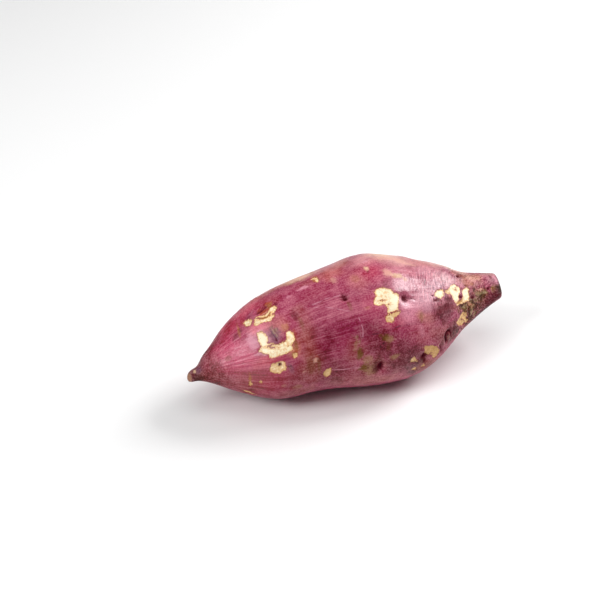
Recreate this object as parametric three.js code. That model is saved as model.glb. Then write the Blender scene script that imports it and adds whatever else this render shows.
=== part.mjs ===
// A purple sweet potato: one storage root, lying on its side. The thin root tip points to -X and
// the neck, where it was broken off the vine, points to +X. Millimetres, +Z up. The origin is on
// the surface that the root rests on, in the middle of its bounding box.
import * as THREE from "three";

// Driving dimensions.
const LENGTH = 170; // root tip to stem scar
const BREADTH = 69; // front to back, across the thickest section
const HEIGHT = 64.5; // underside to top, across the thickest section

// Faces round the root and along it, and how evenly those along it are spaced: the lower, the more
// they crowd together at the thin ends.
const SEGMENTS = 66;
const RINGS = 76;
const THIN_CROWDING = 0.35;

// The root at each section, from the tip to the stem scar: how far along it is and how large it is,
// as shares of LENGTH, BREADTH and HEIGHT, then how far its underside is lifted off the surface and
// how far its middle sits towards the back (+Y), in millimetres. The first and last close the ends.
const SECTIONS = [
  { along: 0.0, size: 0.0, lift: 20.4, back: 0.2 },
  { along: 0.001, size: 0.062, lift: 18.5, back: 0.2 },
  { along: 0.008, size: 0.088, lift: 17.7, back: 0.2 },
  { along: 0.026, size: 0.104, lift: 17.6, back: 0.3 },
  { along: 0.05, size: 0.182, lift: 16.2, back: 0.5 },
  { along: 0.09, size: 0.327, lift: 12.0, back: 0.9 },
  { along: 0.147, size: 0.535, lift: 6.4, back: 1.0 },
  { along: 0.231, size: 0.747, lift: 1.0, back: -0.2 },
  { along: 0.353, size: 0.858, lift: -0.9, back: -0.7 },
  { along: 0.482, size: 0.957, lift: -0.9, back: -2.5 },
  { along: 0.588, size: 1.0, lift: -0.8, back: -3.9 },
  { along: 0.676, size: 0.92, lift: 0.0, back: -3.9 },
  { along: 0.753, size: 0.77, lift: 4.5, back: -2.9 },
  { along: 0.824, size: 0.566, lift: 11.2, back: -1.4 },
  { along: 0.882, size: 0.403, lift: 15.6, back: -0.9 },
  { along: 0.941, size: 0.288, lift: 20.2, back: -0.7 },
  { along: 0.982, size: 0.226, lift: 22.6, back: -0.6 },
  { along: 0.996, size: 0.205, lift: 23.4, back: -0.6 },
  { along: 1.0, size: 0.18, lift: 24.2, back: -0.6 },
  { along: 0.998, size: 0.0, lift: 30.7, back: -0.6 },
];

// The ends are not square. The stem scar reaches further along at its lower edge and at the back,
// and the broken tip is set back at its upper edge.
const SCAR_LEAN = 0.22; // millimetres along for each millimetre down
const SCAR_SWING = 0.18; // millimetres along for each millimetre towards the back
const SCAR_FROM = 0.9; // share of LENGTH where the stem end starts to lean
const TIP_LEAN = 0.45; // millimetres along for each millimetre up
const TIP_TO = 0.06; // share of LENGTH where the tip stops leaning

// Places on the skin are given by along, in millimetres from the tip, and clock, in degrees round
// the root as seen from the stem scar: 0 is the top, 90 the front (-Y), 180 the underside and 270
// the back.

// Broad swells and dents: how far each reaches along and round the root, and how high it stands.
const SWELLS = [
  { along: 42, clock: 76, reachAlong: 15, reachRound: 18, height: 1.0 }, // lobe behind the tip
  { along: 54, clock: 32, reachAlong: 6, reachRound: 10, height: -1.2 }, // notch above the lobe
  { along: 65, clock: 138, reachAlong: 17, reachRound: 24, height: -1.7 }, // waist low in front
  { along: 57, clock: 322, reachAlong: 15, reachRound: 20, height: 1.85 }, // shoulder at the back
  { along: 97, clock: 142, reachAlong: 22, reachRound: 22, height: 0.8 }, // belly low in front
  { along: 98, clock: 16, reachAlong: 15, reachRound: 13, height: 0.8 }, // shoulder on top
  { along: 117, clock: 66, reachAlong: 11, reachRound: 12, height: -1.7 }, // hollow by the neck
  { along: 120, clock: 88, reachAlong: 7, reachRound: 9, height: 0.8 }, // fold before the crease
  { along: 129.5, clock: 96, reachAlong: 4.5, reachRound: 8, height: -1.9 }, // crease
  { along: 127, clock: 322, reachAlong: 6, reachRound: 12, height: -1.1 }, // dip where the neck starts
  { along: 145, clock: 14, reachAlong: 4, reachRound: 4, height: 0.4 }, // knob on the neck
  { along: 62, clock: 214, reachAlong: 18, reachRound: 16, height: 0.9 },
  { along: 100, clock: 266, reachAlong: 14, reachRound: 16, height: -1.2 },
  { along: 34, clock: 296, reachAlong: 12, reachRound: 12, height: 0.9 },
  { along: 122, clock: 292, reachAlong: 12, reachRound: 13, height: 0.8 },
  { along: 134, clock: 268, reachAlong: 6, reachRound: 9, height: -1.3 },
];

// Dormant eyes, each in a shallow dimple of its own.
const EYE_REACH = 4.5;
const EYE_DEPTH = 0.9;
const EYES = [
  { along: 78, clock: 25 },
  { along: 105, clock: 41 },
  { along: 111, clock: 98 },
  { along: 88, clock: 98 },
  { along: 42, clock: 358 },
  { along: 84, clock: 306 },
  { along: 56, clock: 252 },
  { along: 112, clock: 232 },
  { along: 31, clock: 222 },
  { along: 92, clock: 168 },
];

const DEGREE = Math.PI / 180;

// The sections as one smooth curve of [along, size, lift, back]. A share of the way along it covers
// less of the skin where the root is thin, so that the faces stay nearly square there.
function sectionCurve() {
  const knots = [0];
  const values = [];
  SECTIONS.forEach(({ along, size, lift, back }, i) => {
    if (i > 0) {
      const previous = SECTIONS[i - 1];
      const run = (along - previous.along) * LENGTH;
      const climb = ((size - previous.size) * (BREADTH + HEIGHT)) / 4;
      const thickness = (size + previous.size) / 2;
      knots.push(knots[i - 1] + Math.hypot(run, climb) / (THIN_CROWDING + thickness));
    }
    values.push(along, size, lift, back);
  });
  const curve = new THREE.CubicInterpolant(knots, values, 4);
  const end = knots[knots.length - 1];
  return (share) => {
    const [along, size, lift, back] = curve.evaluate(share * end);
    return { along, size: Math.max(size, 0), lift, back };
  };
}

// A round hill, or a hollow where its height is negative, at a place on a root of that radius.
function hillAt(place, radius, { along, clock, reachAlong, reachRound, height }) {
  const turn = THREE.MathUtils.euclideanModulo(place.clock - clock + 180, 360) - 180;
  const offAlong = (place.along - along) / reachAlong;
  const offRound = (turn * DEGREE * radius) / reachRound;
  return height * Math.exp(-(offAlong ** 2) - offRound ** 2);
}

// How far the swells and eyes push the skin out at a place on the root.
function reliefAt(place, radius) {
  const swells = SWELLS.map((swell) => hillAt(place, radius, swell));
  const eyes = EYES.map((eye) =>
    hillAt(place, radius, { ...eye, reachAlong: EYE_REACH, reachRound: EYE_REACH, height: -EYE_DEPTH }),
  );
  return [...swells, ...eyes].reduce((sum, height) => sum + height, 0);
}

// The skin's point at a share of the way from the tip to the scar, and a share of a turn.
function skinPoint(section, turnShare) {
  const { along, size, lift, back } = section;
  const clock = turnShare * 360;
  const halfBreadth = (size * BREADTH) / 2;
  const halfHeight = (size * HEIGHT) / 2;
  const relief = reliefAt({ along: along * LENGTH, clock }, halfBreadth) * Math.min(size * 4, 1);
  const across = Math.sin(clock * DEGREE) * (halfBreadth + relief);
  const up = Math.cos(clock * DEGREE) * (halfHeight + relief);
  const scar = THREE.MathUtils.smoothstep(along, SCAR_FROM, 1);
  const tip = 1 - THREE.MathUtils.smoothstep(along, 0, TIP_TO);
  const lean = tip * TIP_LEAN * up - scar * (SCAR_LEAN * up + SCAR_SWING * across);
  const x = along * LENGTH + lean;
  const z = lift + halfHeight + up;
  return new THREE.Vector3(x, back - across, Math.max(z, 0)); // flat where it lies
}

// A sphere's grid of faces, pole to pole, wrapped round the root from the tip to the stem scar.
function rootGeometry() {
  const geometry = new THREE.SphereGeometry(1, SEGMENTS, RINGS);
  const sectionAt = sectionCurve();
  const { position, uv } = geometry.attributes;
  for (let i = 0; i < position.count; i += 1) {
    const point = skinPoint(sectionAt(uv.getY(i)), uv.getX(i));
    position.setXYZ(i, point.x, point.y, point.z);
  }
  geometry.computeBoundingBox();
  const middle = geometry.boundingBox.getCenter(new THREE.Vector3());
  geometry.translate(-middle.x, -middle.y, -geometry.boundingBox.min.z);
  geometry.computeVertexNormals();
  return geometry;
}

const skin = new THREE.MeshStandardMaterial({ color: "#a2455f", roughness: 0.5, metalness: 0 });
const root = new THREE.Mesh(rootGeometry(), skin);
root.name = "sweet_potato";

const part = new THREE.Group();
part.add(root);

export default part;
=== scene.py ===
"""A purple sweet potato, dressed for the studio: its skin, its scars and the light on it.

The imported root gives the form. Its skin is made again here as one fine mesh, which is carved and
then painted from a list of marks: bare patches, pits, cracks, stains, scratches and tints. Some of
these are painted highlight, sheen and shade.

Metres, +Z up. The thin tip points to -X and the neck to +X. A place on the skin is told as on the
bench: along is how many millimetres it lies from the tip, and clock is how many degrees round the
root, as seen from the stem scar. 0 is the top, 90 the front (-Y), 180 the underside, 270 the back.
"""

import logging
import math
from collections.abc import Iterator
from dataclasses import dataclass, field
from enum import Enum
from functools import partial

import bpy
import numpy as np
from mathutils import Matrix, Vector, noise


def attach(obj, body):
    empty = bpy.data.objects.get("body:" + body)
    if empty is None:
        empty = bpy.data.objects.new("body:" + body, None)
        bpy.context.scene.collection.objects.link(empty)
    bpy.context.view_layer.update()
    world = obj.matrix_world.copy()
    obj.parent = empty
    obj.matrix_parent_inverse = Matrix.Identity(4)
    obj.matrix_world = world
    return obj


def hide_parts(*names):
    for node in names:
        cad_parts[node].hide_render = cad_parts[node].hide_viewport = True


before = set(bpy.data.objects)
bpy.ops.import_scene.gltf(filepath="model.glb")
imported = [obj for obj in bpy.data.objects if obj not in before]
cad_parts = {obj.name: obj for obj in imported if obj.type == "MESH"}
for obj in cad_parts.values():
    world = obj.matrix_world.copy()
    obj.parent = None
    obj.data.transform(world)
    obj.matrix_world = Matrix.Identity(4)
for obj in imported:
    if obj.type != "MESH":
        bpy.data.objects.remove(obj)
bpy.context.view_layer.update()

LOG = logging.getLogger("sweet_potato")
MM = 0.001
TRUNK_RADIUS = 33.0  # millimetres, the thickest part of the root
FOLD_LEAN = np.array([0.0, 0.52, 0.3])  # how far the folds lean along the root, for each millimetre
NOISE_LOW, NOISE_HIGH = 0.33, 0.67  # a shader's noise hardly leaves this range

Spot = tuple[float, float]  # along in millimetres, clock in degrees
Outline = tuple[Spot, ...]  # the spots round the edge of a patch, in turn
Socket = bpy.types.NodeSocket
Painting = dict[str, np.ndarray]  # for each attribute's name, its value at each vertex


# ------ Small tools ------


def linear(hex_colour: str) -> tuple[float, float, float, float]:
    """Turn an sRGB hex colour into the linear colour that the shaders work in.

    Args:
        hex_colour: The colour as #rrggbb.

    Returns:
        Red, green, blue and an alpha of 1.
    """
    levels = [int(hex_colour[i : i + 2], 16) / 255 for i in (1, 3, 5)]
    red, green, blue = [v / 12.92 if v <= 0.04045 else ((v + 0.055) / 1.055) ** 2.4 for v in levels]
    return red, green, blue, 1.0


def smooth_step(values: np.ndarray, low: float, high: float) -> np.ndarray:
    """Rise smoothly from 0 at low to 1 at high.

    Args:
        values: What is looked at.
        low: The value that gives 0.
        high: The value that gives 1.

    Returns:
        A share from 0 to 1 for each value.
    """
    share = np.clip((values - low) / (high - low), 0, 1)
    return share * share * (3 - 2 * share)


def bell(values: np.ndarray, middle: float, reach: float) -> np.ndarray:
    """Give 1 at the middle, and less on both sides of it.

    Args:
        values: What is looked at.
        middle: The value that gives 1.
        reach: How far from it the share has fallen to about a third.

    Returns:
        A share from 0 to 1 for each value.
    """
    return np.exp(-(((values - middle) / reach) ** 2))


def lumps(points: np.ndarray, size: float | tuple[float, float, float], seed: int) -> np.ndarray:
    """Give smooth noise, the same on every run.

    Args:
        points: Places in millimetres, one row each.
        size: How large the lumps are in millimetres, in all directions or in each.
        seed: Which noise it is.

    Returns:
        A value of about -1 to 1 at each place.
    """
    scaled = points / np.asarray(size) + seed * 13.7
    return np.array([noise.noise(place) for place in scaled.tolist()])


def add_node(
    tree: bpy.types.NodeTree,
    kind: str,
    inputs: dict | None = None,
    wanted: int | str = 0,
    **settings: str,
) -> Socket | None:
    """Add one node to a tree, set it and link it.

    Args:
        tree: The tree that it goes into.
        kind: The node's type, without the ShaderNode in front.
        inputs: For each input's name or number, the socket that feeds it or the value it holds.
        wanted: The name or number of the output that is wanted.
        **settings: The node's own settings.

    Returns:
        That output, or None if the node has no outputs.
    """
    node = tree.nodes.new("ShaderNode" + kind)
    for name, value in settings.items():
        setattr(node, name, value)
    for name, value in (inputs or {}).items():
        if isinstance(value, Socket):
            tree.links.new(value, node.inputs[name])
        else:
            node.inputs[name].default_value = value
    return node.outputs[wanted] if node.outputs else None


# ------ The marks on the skin ------


@dataclass(frozen=True)
class Blob:
    """A rounded patch of skin.

    Attributes:
        along: Millimetres from the tip to its middle.
        clock: Degrees round the root to its middle.
        length: Its size along the root, in millimetres.
        width: Its size round the root, in millimetres.
        turn: Degrees that its length is turned towards a larger clock.
    """

    along: float
    clock: float
    length: float
    width: float
    turn: float = 0.0


@dataclass(frozen=True)
class BarePatch:
    """Skin rubbed off the root, so that the flesh below shows.

    Attributes:
        age: 0 where the flesh is fresh and cream, 1 where it has dried to a corky tan.
        shapes: What is bare.
        islands: Skin that is left standing within it.
    """

    age: float
    shapes: tuple[Blob | Outline, ...]
    islands: tuple[Blob | Outline, ...] = ()


@dataclass(frozen=True)
class Pit:
    """An eye or a root scar, sunk into the skin.

    Attributes:
        blob: Where it is and how large.
        depth: How deep it is, in millimetres.
        lip: How high the skin is drawn up round it, in millimetres.
        dark: How dark it is: 0 like the skin, 1 in its middle alone, and more out to its edge.
    """

    blob: Blob
    depth: float
    lip: float
    dark: float


@dataclass(frozen=True)
class Crack:
    """A narrow fold or crack in the skin.

    Attributes:
        path: The spots that it runs through.
        width: How wide it is, in millimetres.
        depth: How deep it is, in millimetres.
        dark: How dark it is: 0 like the skin, 1 in its middle alone, and more out to its edge.
    """

    path: tuple[Spot, ...]
    width: float
    depth: float
    dark: float = 1.0


class Line(Enum):
    """What has drawn a thin line on the skin, by its colour."""

    SCRATCH = "#cf8ea0"
    STRAW = "#b09074"
    SOIL = "#6a4426"
    BRUISE = "#4c2a38"


@dataclass(frozen=True)
class Scratch:
    """A thin line on the skin.

    Attributes:
        path: The spots that it runs through.
        line: What it is.
    """

    path: tuple[Spot, ...]
    line: Line = Line.SCRATCH


class Stain(Enum):
    """What has stained the skin, by its colour. PINK and PEACH each also give one painted
    highlight.
    """

    SOIL = "#70491f"
    MUD = "#47200c"
    CLAY = "#b8765c"
    DUST = "#a67c5e"
    KHAKI = "#a48c6a"
    OCHRE = "#a8742f"
    RUST = "#a84630"
    PEACH = "#dfa896"
    CREAM = "#e6c29a"
    PINK = "#e6a2b4"
    WINE = "#661022"
    BRUISE = "#7a4c60"


@dataclass(frozen=True)
class Smear:
    """A stain with a ragged edge. Two smears are painted highlights laid on in the same way.

    Attributes:
        blob: Where it is and how far it reaches.
        stain: What it is.
        strength: How much of it there is, 0 to 1.
    """

    blob: Blob
    stain: Stain
    strength: float


@dataclass(frozen=True)
class Tint:
    """A broad change of the colour painted on the skin: mostly the skin's own, in places painted
    shade, highlight, sheen and light bounced from the floor.

    Attributes:
        blob: Where it is and how far it reaches.
        colour: The colour in its middle, as sRGB hex.
        strength: How much of it there is in the middle, 0 to 1.
    """

    blob: Blob
    colour: str
    strength: float


BARE_PATCHES = (
    # The saddle-shaped patch on the lobe, and the crumb below its right arm.
    BarePatch(
        0.12,
        (
            (
                (33.5, 31.8), (34.2, 29.2), (35.3, 27.8), (36.4, 29.8), (37.2, 34.8), (37.4, 39.8),
                (36.6, 43.8), (38.6, 44.6), (40.2, 47.8), (42.4, 48.6), (44.6, 47.8), (45.8, 44.2),
                (46.6, 38.4), (48.2, 39.2), (49.6, 42.2), (49.2, 45.8), (49.5, 50.2), (48.4, 52.4),
                (47.2, 55.8), (46.8, 60.4), (43, 61.2), (38.2, 61.8), (35.8, 59.8), (35.6, 56.2),
                (33.6, 53.6), (31.8, 48.8), (33.8, 45), (33.2, 38.8),
            ),
        ),
        (
            Blob(37.4, 46.7, 3.4, 0.8, -6),
            Blob(38.2, 50.2, 2.6, 0.8, 10),
            Blob(41, 52, 0.8, 0.7),
            Blob(45.2, 53.2, 0.8, 0.6),
        ),
    ),
    BarePatch(0.4, (((46, 64.4), (46.8, 62.3), (48.6, 63.8), (48.5, 66.8), (46.6, 68.2)),)),
    # The oval below it, with a scab.
    BarePatch(
        0.35,
        (
            (
                (35, 73.8), (35.9, 70.3), (36.4, 68.2), (38.6, 67.6), (40.2, 66.2), (42, 67.8),
                (42.4, 72.8), (42.2, 77.8), (40.2, 78.2), (39.4, 80), (37, 80.2), (35.4, 77.8),
            ),
        ),
    ),
    # The horseshoe on the shoulder of the lobe, with a thread of skin left in it, and its drop.
    BarePatch(
        0.2,
        (
            (
                (34, 12), (34.6, 8.2), (35.4, 5), (37.2, 2.4), (38.2, 2.8), (39.8, 6), (41, 5.9),
                (42.2, 3.4), (43.2, 0.4), (44.6, -1.2), (46.2, -0.6), (47, 2.8), (46.5, 6.8),
                (45.3, 9), (44.2, 13.8), (43, 16.9), (41.3, 18.1), (39.2, 16.2), (37, 14.6),
                (35.2, 15.6),
            ),
            Blob(32.2, 2.8, 3.8, 4.4, -14),
        ),
        (
            (
                (36.1, 5.2), (37.2, 9.3), (38.6, 10.9), (40.8, 12.1), (42.7, 10.6), (43.9, 6.2),
                (43.1, 5.2), (42.2, 8.4), (40.8, 9.8), (38.9, 8.6), (37.8, 6.2), (37, 4.2),
            ),
            Blob(44, 10.6, 1.4, 1.5, 30),
        ),
    ),
    # The oval low in front.
    BarePatch(
        0.5,
        (((60.4, 96), (61, 91), (62.4, 89), (64, 89.6), (64.3, 94), (63.4, 99), (61.4, 99.8)),),
    ),
    # The large patch on the shoulder, with its leg and its corky foot.
    BarePatch(
        0.08,
        (
            (
                (89.3, 41.1), (90.6, 36.3), (91.9, 33.3), (91.3, 29.7), (93, 27.9), (95.6, 27.2),
                (97.4, 29.1), (99.6, 30.7), (100.4, 35.3), (102.2, 35.7), (103.2, 37.9),
                (102, 41.7), (100.9, 45.7), (99.9, 50.3), (97.4, 50.7), (95.4, 51.7), (94.6, 49.5),
                (95.6, 44.7), (93.6, 43.1), (91.2, 42.5),
            ),
        ),
        (Blob(94, 39.4, 2.4, 0.8, 6), Blob(97, 33.5, 0.9, 0.5), Blob(96.4, 44.1, 1.2, 0.6)),
    ),
    BarePatch(
        0.4,
        (
            (
                (93, 58), (93.2, 54), (95, 52.8), (97, 52.4), (100.8, 51.8), (99.6, 54.6),
                (97.4, 56), (96.6, 59.4), (94.4, 59.8),
            ),
        ),
    ),
    # The row of patches where the neck starts.
    BarePatch(
        0.08,
        (
            ((123.6, 41.6), (124.6, 38), (126.2, 37), (129.9, 37.4), (129.4, 43.4), (127, 47)),
            (
                (133.8, 41), (134.4, 38.4), (135.6, 34), (137.4, 29.8), (139.8, 32), (142, 35.6),
                (141.8, 43), (139.8, 48), (139.2, 54), (137.4, 56.4), (135.9, 58.6), (135, 53),
                (134.8, 47),
            ),
            (
                (142.4, 53), (142.8, 48), (143.4, 42.6), (145, 39.4), (147.2, 38.6), (149.2, 42),
                (148.2, 48), (147.4, 56), (146.2, 62), (142.4, 63.6), (136.6, 63.2), (136.8, 60.4),
                (141.8, 60),
            ),
        ),
        (Blob(138.8, 38.8, 1.6, 0.7, 20), Blob(139.4, 36, 0.7, 0.6)),
    ),
    BarePatch(0.45, (((130.8, 41.8), (131.4, 39), (135.2, 35.8), (135, 44.4), (132.6, 43.6)),)),
    BarePatch(1, (((136.6, 59.4), (138.6, 57), (141.8, 56), (142.2, 60), (138.4, 60.8)),)),
    # The star on the underside of the neck.
    BarePatch(
        0.45,
        (
            (
                (134.8, 82), (137.2, 80.6), (138, 77), (140.8, 76), (143.2, 82), (142.9, 90),
                (145.2, 101), (144, 104.4), (142.2, 97), (140.8, 99.4), (139.2, 97.4),
                (137.2, 91.6),
            ),
        ),
        (Blob(140.4, 89, 4.4, 0.6, 52), Blob(138.8, 85, 2.4, 0.6, 46), Blob(141.4, 82, 2, 0.6, 40)),
    ),
    # The corky patches by the crease.
    BarePatch(
        0.62,
        (
            (
                (110.6, 88.4), (112.6, 88.2), (115.6, 89.2), (118.8, 92), (121, 97.6), (121.2, 103),
                (119.6, 106.8), (117.6, 106.4), (116.8, 101.6), (113.8, 97.8), (112, 96),
                (112.2, 91.6),
            ),
        ),
        (Blob(116, 98.6, 1.8, 1.1), Blob(117.8, 97.6, 0.9, 0.8)),
    ),
    BarePatch(
        0.42,
        (
            (
                (103, 100.6), (104.2, 96.6), (105.4, 96.4), (106.4, 100), (108.4, 104.6),
                (105.6, 102),
            ),
            ((105.2, 113.4), (106.4, 110.2), (108.4, 113), (107.4, 115.4)),
            ((110.9, 113), (112.2, 110), (113.6, 113.4)),
        ),
    ),
    # Flecks on top and at the lower edge.
    BarePatch(0.2, (Blob(70.8, 349, 1.8, 4.4, 6), Blob(69.8, 345, 2.2, 1.4))),
    BarePatch(0.55, (Blob(30.8, 93, 0.9, 1.2), Blob(26.5, 98.5, 1.1, 1.9))),
    BarePatch(0.35, (Blob(25.6, 122, 3, 1.4, 14), Blob(28.2, 127, 2.4, 1.4, 10))),
    # The back.
    BarePatch(
        0.15,
        (
            (
                (47.4, 289), (49.8, 284), (53.6, 286), (56.4, 281), (60, 284), (59.2, 291),
                (61.6, 297), (58.6, 301), (56, 295), (51.2, 298), (48.4, 294),
            ),
        ),
        (Blob(54.6, 290, 1.8, 1.2, 20),),
    ),
    BarePatch(
        0.2,
        (((104.6, 287), (107, 281), (111, 276), (113.4, 280), (110, 286), (106.6, 290)),),
    ),
    BarePatch(0.5, (Blob(76, 262, 3.2, 4.8, 10),)),
    BarePatch(
        0.3,
        (((133.4, 299), (136.8, 295), (141.4, 298), (142.8, 307), (139.4, 309), (135.4, 304)),),
    ),
    BarePatch(0.35, (Blob(30, 262, 4.2, 3, -16), Blob(33.4, 258, 2, 1.8))),
    BarePatch(0.65, (Blob(95, 243, 5, 3, 22),)),
    # The underside.
    BarePatch(0.55, (Blob(48, 205, 6.8, 4.6, 12), Blob(52.4, 210, 3.2, 3))),
    BarePatch(0.7, (Blob(101, 196, 4.6, 6.2, -10),)),
    BarePatch(0.6, (Blob(128, 190, 5, 3, -12),)),
)

# Where the flesh is whitest: partly fresher flesh, partly painted highlight on bare patches that
# face the lights.
FRESH_AND_HIGHLIT = (
    Blob(100.6, 39, 5, 11),
    Blob(98, 47, 3, 5),
    Blob(127, 40, 5, 5),
    Blob(139, 38, 6, 12),
    Blob(145.6, 46, 5, 10),
    Blob(34.6, 35, 3.4, 12),
)

PITS = tuple(
    Pit(Blob(*place), depth, lip, dark)
    for depth, lip, dark, *place in (
        # In front.
        (1.1, 0.18, 1, 77.8, 26.8, 2.6, 3), (1.2, 0.06, 1, 105.4, 41.4, 4.4, 4.6, 6),
        (0.8, 0.05, 0.1, 53.2, 25, 2.8, 6, 8), (1.2, 0.2, 1.1, 88.2, 100, 3.2, 7.6, 6),
        (0.6, 0.1, 0.5, 86.8, 102, 5, 7), (0.8, 0.1, 1.2, 111.4, 99, 3, 5, 8),
        (0.4, 0.05, 0.9, 112.2, 105, 1.8, 4.6, 14), (1, 0.2, 0, 40.4, -2, 5.6, 5, 8),
        (0.6, 0, 1, 39.6, 70.2, 2.5, 2.3, 30), (0.4, 0, 0.85, 40.8, 43.4, 1.6, 2.2),
        (0.5, 0.1, 0.85, 122.4, 41.4, 2.6, 1.2, 20), (0.6, 0.1, 0.8, 123.4, 47, 3.6, 1.4),
        (0.5, 0.2, 1, 144.4, 12, 3, 1.7, -30), (0.4, 0.2, 0.6, 148, 5, 3, 1.2, -30),
        (0.4, 0.15, 0.75, 147.1, 32.8, 2.2, 1.3), (0.6, 0.1, 1, 140.8, 51.6, 3.2, 2.1, 8),
        (0.4, 0.1, 0.8, 160.8, 50, 2, 2.2), (0.4, 0.1, 0.85, 149.4, 59, 2.2, 2.6),
        (0.4, 0.1, 0.9, 145, 77, 1.8, 1.6),
        # On top, at the back and underneath.
        (1.2, 0.3, 1, 84, 306, 2.8, 3.6), (1.3, 0.25, 1, 56, 252, 3, 4.2, 14),
        (1.3, 0.3, 1, 112, 232, 2.8, 3.6, -8), (0.9, 0.2, 1, 31, 222, 2.4, 3),
        (0.8, 0.1, 1, 92, 168, 2.8, 3.6), (0.7, 0.2, 0.8, 120, 330, 2, 2.2),
        (0.6, 0.15, 0.7, 42, 318, 1.8, 2.4),
    )
)

CRACKS = (
    Crack(((126.2, 86.4), (127.8, 84.8), (129.4, 87.2)), 1.5, 0.9, 1.4),
    Crack(((126.4, 86), (126.5, 92), (127.4, 99)), 1.9, 1, 1.4),
    Crack(((129.6, 87.4), (130.8, 93), (131.4, 99)), 1.2, 0.5, 1),
    Crack(((127.6, 99), (126.2, 106), (124.4, 112)), 1, 0.4, 0.7),
    Crack(((106.6, 41), (108.8, 41.8), (111.2, 43)), 1.2, 0.5, 0.65),
    Crack(((75.6, 24.6), (77.4, 22.6), (78.9, 24.4)), 1, 0.4, 0.55),
    Crack(((121.4, 93), (122.4, 98), (123.4, 105)), 1.5, 0.6, 0.85),
    Crack(((137.6, 84.6), (140.6, 83.6), (142.4, 84.4)), 0.5, 0.12, 0.5),
    Crack(((139.8, 78.5), (139.2, 84), (138, 88.5)), 0.5, 0.12, 0.55),
    Crack(((37.6, -3.8), (39.2, -5), (41, -6.2), (42.8, -7.4)), 1.5, 0.7, 0.5),
    Crack(
        ((43.4, 92), (44.3, 91), (45.2, 93), (44.6, 95.4), (43.6, 94.6), (43.3, 92.6)),
        0.5,
        0.15,
        0.5,
    ),
    Crack(((84, 66), (92, 67), (99, 64)), 0.7, 0.2, 0.18),
    Crack(((133, 262), (134.4, 271), (133.6, 280)), 1.8, 1.3, 0.8),
    Crack(((98, 262), (101, 268), (106, 271)), 1.2, 0.7, 0.5),
    Crack(((112.4, 225), (113, 238)), 1.2, 0.7, 0.7),
)

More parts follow.
